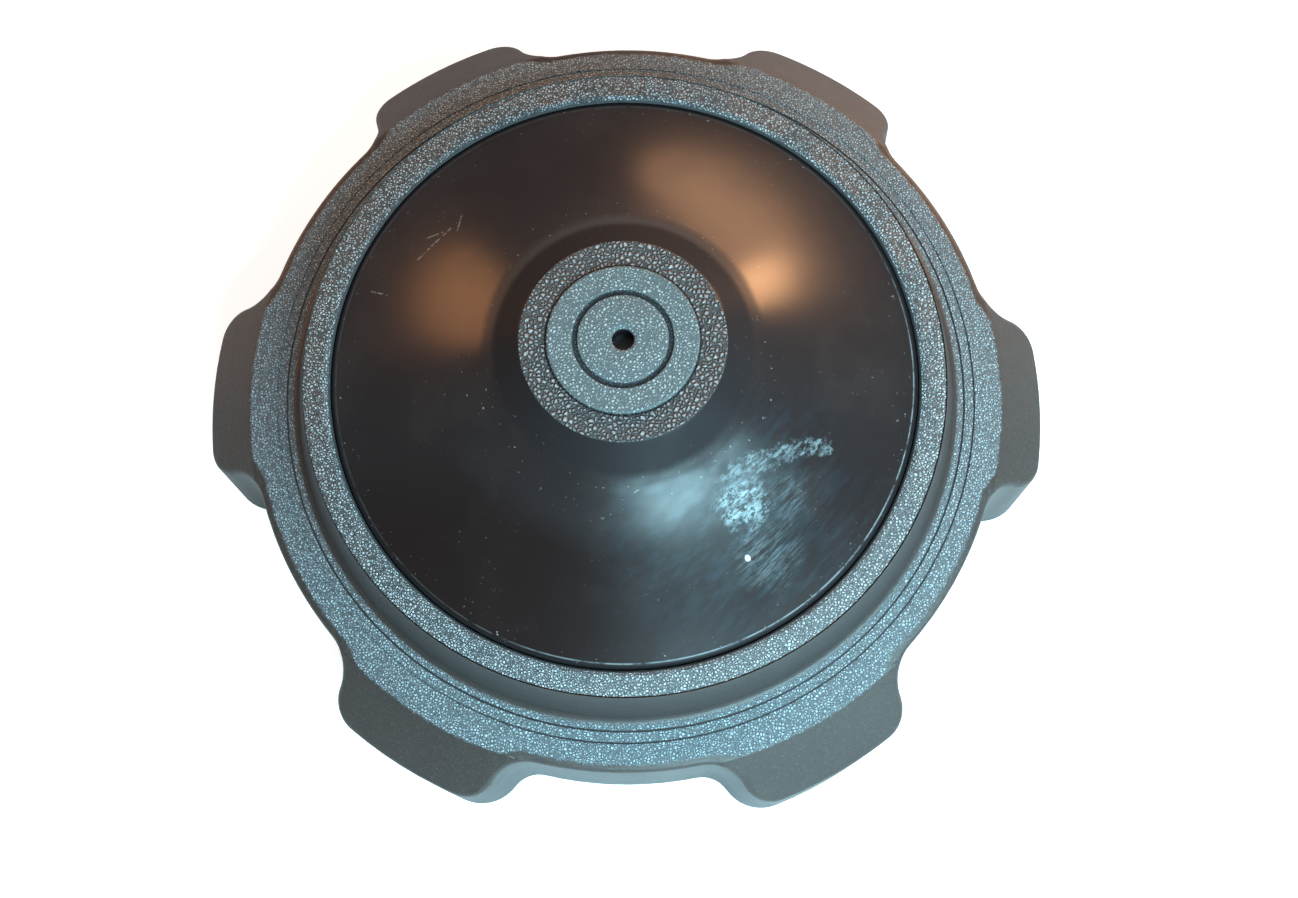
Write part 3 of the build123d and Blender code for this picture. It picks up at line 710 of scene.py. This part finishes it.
def add_lamp(name, place, aim, width, height, power, colour):
    """A soft lamp at a place in the room, aimed at a point of the cap."""
    light = bpy.data.lights.new(name, "AREA")
    light.shape = "ELLIPSE"
    light.size = width
    light.size_y = height
    light.energy = power
    light.color = colour
    lamp = bpy.data.objects.new(name, light)
    lamp.location = place
    way = Vector(place) - Vector(aim)
    lamp.rotation_euler = way.to_track_quat("Z", "Y").to_euler()
    bpy.context.collection.objects.link(lamp)


dome_middle = (0, 0, 0.03)


def from_angle(compass, elevation, distance):
    """A place seen from the dome at a compass angle, clockwise from +Y, and an elevation."""
    a, e = radians(compass), radians(elevation)
    return (sin(a) * cos(e) * distance, cos(a) * cos(e) * distance, sin(e) * distance + dome_middle[2])


studio_floor()
add_lamp("warm_right_lamp", from_angle(47, 9, 0.8), dome_middle, 0.24, 0.14, 2.2, (1.0, 0.50, 0.23))
add_lamp("warm_back_lamp", from_angle(25, 11, 0.9), dome_middle, 0.80, 0.30, 3.9, (1.0, 0.50, 0.25))
add_lamp("warm_left_lamp", from_angle(-57, 12, 0.8), dome_middle, 0.46, 0.24, 1.5, (1.0, 0.42, 0.16))
add_lamp("cool_side_lamp", (0.120, -0.19, 0.155), (0.01, -0.01, 0.03), 0.34, 0.06, 1.36, (0.47, 0.86, 1.0))
add_lamp("cool_near_lamp", (0.064, -0.080, 0.190), (0.01, -0.02, 0.02), 0.16, 0.04, 0.46, (0.50, 0.84, 1.0))
add_lamp("top_lamp", (0.0, 0.15, 0.9), dome_middle, 0.8, 0.8, 1.6, (1.0, 0.98, 0.97))

room_grey = (0.185, 0.176, 0.171, 1)
backdrop_white = (1, 1, 1, 1)
world = bpy.data.worlds.new("studio")
bpy.context.scene.world = world
world.use_nodes = True
room = Wire(world.node_tree, None)
seen_directly = room.node("ShaderNodeLightPath", {}, {}, 0)
room_light = room.node("ShaderNodeMix", {"data_type": "RGBA"}, {
    "Factor": seen_directly, 6: room_grey, 7: backdrop_white}, 2)
world.node_tree.links.new(room_light.socket, world.node_tree.nodes["Background"].inputs["Color"])

bpy.context.scene.view_settings.view_transform = "Standard"


def place_camera(azimuth, elevation, roll, distance, aim, focal):
    """The camera looks down at the cap from just in front of it."""
    a, e, tilt = radians(azimuth), radians(elevation), radians(roll)
    back = Vector((sin(a) * cos(e), -cos(a) * cos(e), sin(e)))
    right = Vector((cos(a), sin(a), 0))
    up = back.cross(right)
    across = right * cos(tilt) + up * sin(tilt)
    above = up * cos(tilt) - right * sin(tilt)
    where = Vector(aim) + back * distance
    data = bpy.data.cameras.new("camera")
    data.sensor_width = 36
    data.lens = focal
    data.clip_start = 0.01
    camera = bpy.data.objects.new("camera", data)
    axes = Matrix((across, above, back)).transposed().to_4x4()
    camera.matrix_world = Matrix.Translation(where) @ axes
    bpy.context.collection.objects.link(camera)
    bpy.context.scene.camera = camera


place_camera(azimuth=0.68, elevation=77.29, roll=0.24, distance=0.1749,
             aim=(0.003027, -0.006418, 0.015), focal=37.46)
